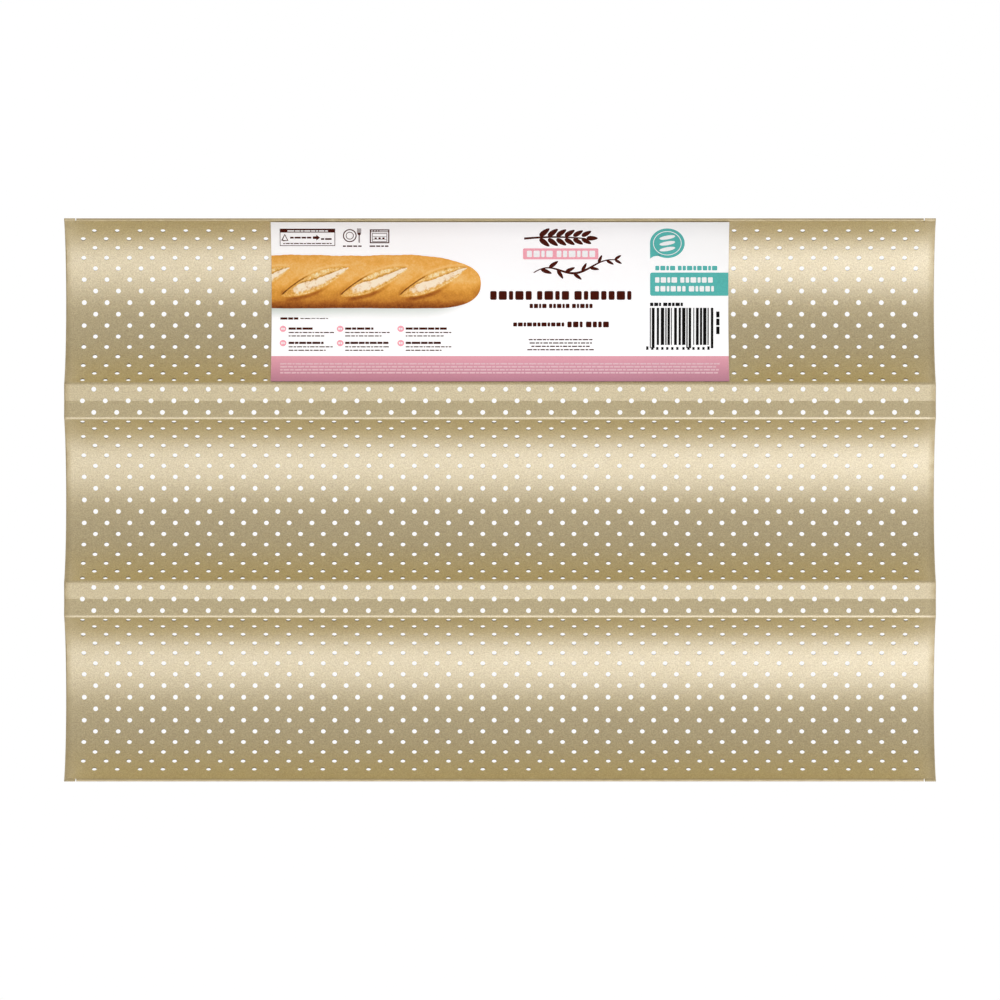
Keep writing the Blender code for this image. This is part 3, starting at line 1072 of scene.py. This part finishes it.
def loaf_ink():
    """Crust from dark brown to pale gold, open crumb, and dusted flour, with baked texture."""
    made = Shader("ink_loaf", (0.65, 0.36, 0.11), 0.42, Specular_IOR_Level=0.04)
    light, crumb, flour = (made.attribute(name) for name in ("light", "crumb", "flour"))
    coarse = made.vary(made.noise(420.0, 3.0), -1.0, 1.0)
    fine = made.vary(made.noise(1300.0, 2.0), -1.0, 1.0)
    blister = made.vary(made.noise(160.0, 2.0, (1.0, 1.6, 1.0)), -1.0, 1.0)
    grainy = made.mix_of(coarse, 0.04, fine, 0.05)
    shade = made.maths("ADD", light, made.maths("MULTIPLY", blister, 0.045))
    crust_stops = [
        (0.0, (0.06, 0.018, 0.006)),
        (0.12, (0.22, 0.055, 0.010)),
        (0.32, (0.42, 0.135, 0.020)),
        (0.55, (0.70, 0.305, 0.045)),
        (0.72, (0.86, 0.42, 0.085)),
        (0.90, (0.93, 0.58, 0.21)),
    ]
    crust = made.pick(made.maths("ADD", shade, grainy), crust_stops)
    pitted = made.mix_of(coarse, 0.16, fine, 0.16)
    crumb_stops = [
        (0.15, (0.22, 0.095, 0.015)),
        (0.38, (0.56, 0.28, 0.055)),
        (0.60, (0.80, 0.42, 0.095)),
        (0.80, (0.92, 0.63, 0.25)),
        (0.98, (0.98, 0.85, 0.55)),
    ]
    colour = made.blend(crumb, crust, made.pick(made.maths("ADD", shade, pitted), crumb_stops))
    speckle = made.mix_of(coarse, 0.42, fine, 0.30)
    dust = made.maths("ADD", flour, made.maths("MULTIPLY", flour, speckle))
    made.colour(made.blend(made.ramp(dust, 0.15, 0.95, 0.0, 0.96), colour, (0.99, 0.85, 0.64)))
    return made.material


def shadow_ink():
    """Pale grey-green, fading to the card's white."""
    made = Shader("ink_loaf_shadow", (0.80, 0.84, 0.82), 0.5, Specular_IOR_Level=0.12)
    # painted light: the shadow's ink glows as faintly as the board
    made.glow(CARD_GLOW)
    made.colour(made.blend(made.attribute("tone"), (0.99, 0.99, 0.99), (0.52, 0.58, 0.52)))
    return made.material


# -------------------- pieces

sheet = add("perforated_sheet", build_sheet(), "tray", "champagne_coating", coating(), cut_edge())
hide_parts("tray_sheet")

build_card()
print_card()

# -------------------- floor, light and camera

floor_mesh = bpy.data.meshes.new("floor")
bm = bmesh.new()
bmesh.ops.create_circle(bm, cap_ends=True, segments=96, radius=6.0)
bm.to_mesh(floor_mesh)
bm.free()
floor = put_in_scene("floor", floor_mesh)
floor.location.z = -0.2 * MM
floor_paper = Shader("pale_floor", (1, 1, 1), 1.0)
floor_paper.tree.nodes.remove(floor_paper.bsdf)
cloud = floor_paper.vary(floor_paper.noise(1.5, 2.0), 1.0, 1.004)
floor_paper.only_emit(cloud)
floor_mesh.materials.append(floor_paper.material)

REAR_FILL = 0.25                # how much brighter the fill light is behind, and dimmer in front
world = bpy.data.worlds.new("studio")
world.use_nodes = True
nodes, links = world.node_tree.nodes, world.node_tree.links
direction = nodes.new("ShaderNodeTexCoord")
axes = nodes.new("ShaderNodeSeparateXYZ")
rearward = nodes.new("ShaderNodeMapRange")
links.new(direction.outputs["Generated"], axes.inputs[0])
links.new(axes.outputs["Y"], rearward.inputs["Value"])
rearward.inputs["From Min"].default_value = -1.0
rearward.inputs["To Min"].default_value = 1.0 - REAR_FILL
rearward.inputs["To Max"].default_value = 1.0 + REAR_FILL
links.new(rearward.outputs[0], nodes["Background"].inputs["Strength"])
nodes["Background"].inputs["Color"].default_value = (1, 1, 1, 1)
bpy.context.scene.world = world
bpy.context.scene.view_settings.view_transform = "Standard"


# A dome that only reflections see: a broad soft glow in front of the tray, dim behind it
dome_mesh = bpy.data.meshes.new("reflection_dome")
bm = bmesh.new()
bmesh.ops.create_uvsphere(bm, u_segments=64, v_segments=32, radius=5.5)
bmesh.ops.bisect_plane(
    bm, geom=bm.verts[:] + bm.edges[:] + bm.faces[:], plane_co=(0, 0, -0.3), plane_no=(0, 0, 1),
    clear_inner=True,
)
bm.to_mesh(dome_mesh)
bm.free()
dome = put_in_scene("reflection_dome", dome_mesh)
for ray in ("camera", "diffuse", "shadow", "transmission"):
    setattr(dome, "visible_" + ray, False)
# degrees from straight up towards the front, and how bright the dome is there
GLOW = [(-90, 0.24), (-60, 0.49), (-30, 0.59), (-12, 0.68), (-3, 0.75), (4, 1.15), (14, 2.0),
        (30, 2.6), (48, 3.2), (62, 3.2), (76, 2.45), (90, 1.3)]
BRIGHTEST = max(level for _, level in GLOW)
RIGHTWARD = 0.40                # how much brighter each metre to the right is, in front


def dome_material():
    """Emission by direction from straight up, stronger in front and to the right."""
    dome = Shader("reflection_glow", (0, 0, 0), 1.0)
    dome.tree.nodes.remove(dome.bsdf)
    axes = dome.node("SeparateXYZ", Vector=dome.place)
    forward = dome.maths("MULTIPLY", axes.outputs["Y"], -1.0)
    angle = dome.maths("ARCTAN2", forward, axes.outputs["Z"])
    stops = [((degrees + 90) / 180, (level / BRIGHTEST,) * 3) for degrees, level in GLOW]
    towards = dome.pick(dome.ramp(angle, -math.pi / 2, math.pi / 2, 0.0, 1.0), stops)
    front = dome.ramp(angle, math.radians(-10), math.radians(15), 0.0, 1.0)
    reach = 0.9 / RIGHTWARD
    right = dome.ramp(axes.outputs["X"], -reach, reach, -0.9, 0.9)
    sideways = dome.maths("ADD", dome.maths("MULTIPLY", front, right), 1.0)
    # dimmer towards both ends of the tray, so that it isn't washed out when seen from an end
    ends = dome.ramp(dome.maths("ABSOLUTE", axes.outputs["X"], 0.0), 2.2, 4.6, 1.0, 0.3)
    level = dome.maths("MULTIPLY", dome.maths("MULTIPLY", towards, sideways), ends)
    dome.only_emit(dome.maths("MULTIPLY", level, BRIGHTEST))
    dome.material.cycles.emission_sampling = "NONE"
    return dome.material


dome_mesh.materials.append(dome_material())

camera_data = bpy.data.cameras.new("camera")
camera = put_in_scene("camera", camera_data)
bpy.context.scene.camera = camera
CAMERA_DISTANCE = 4.42          # above the ridges
TRAY_SHARE = 0.872              # of the picture's width
SENSOR = 36.0
camera.location = (0.0, -0.05 * MM, TRAY_HEIGHT + CAMERA_DISTANCE)
camera_data.sensor_width = SENSOR
camera_data.lens = SENSOR * CAMERA_DISTANCE / (TRAY_LENGTH / TRAY_SHARE)
camera_data.clip_end = 100.0
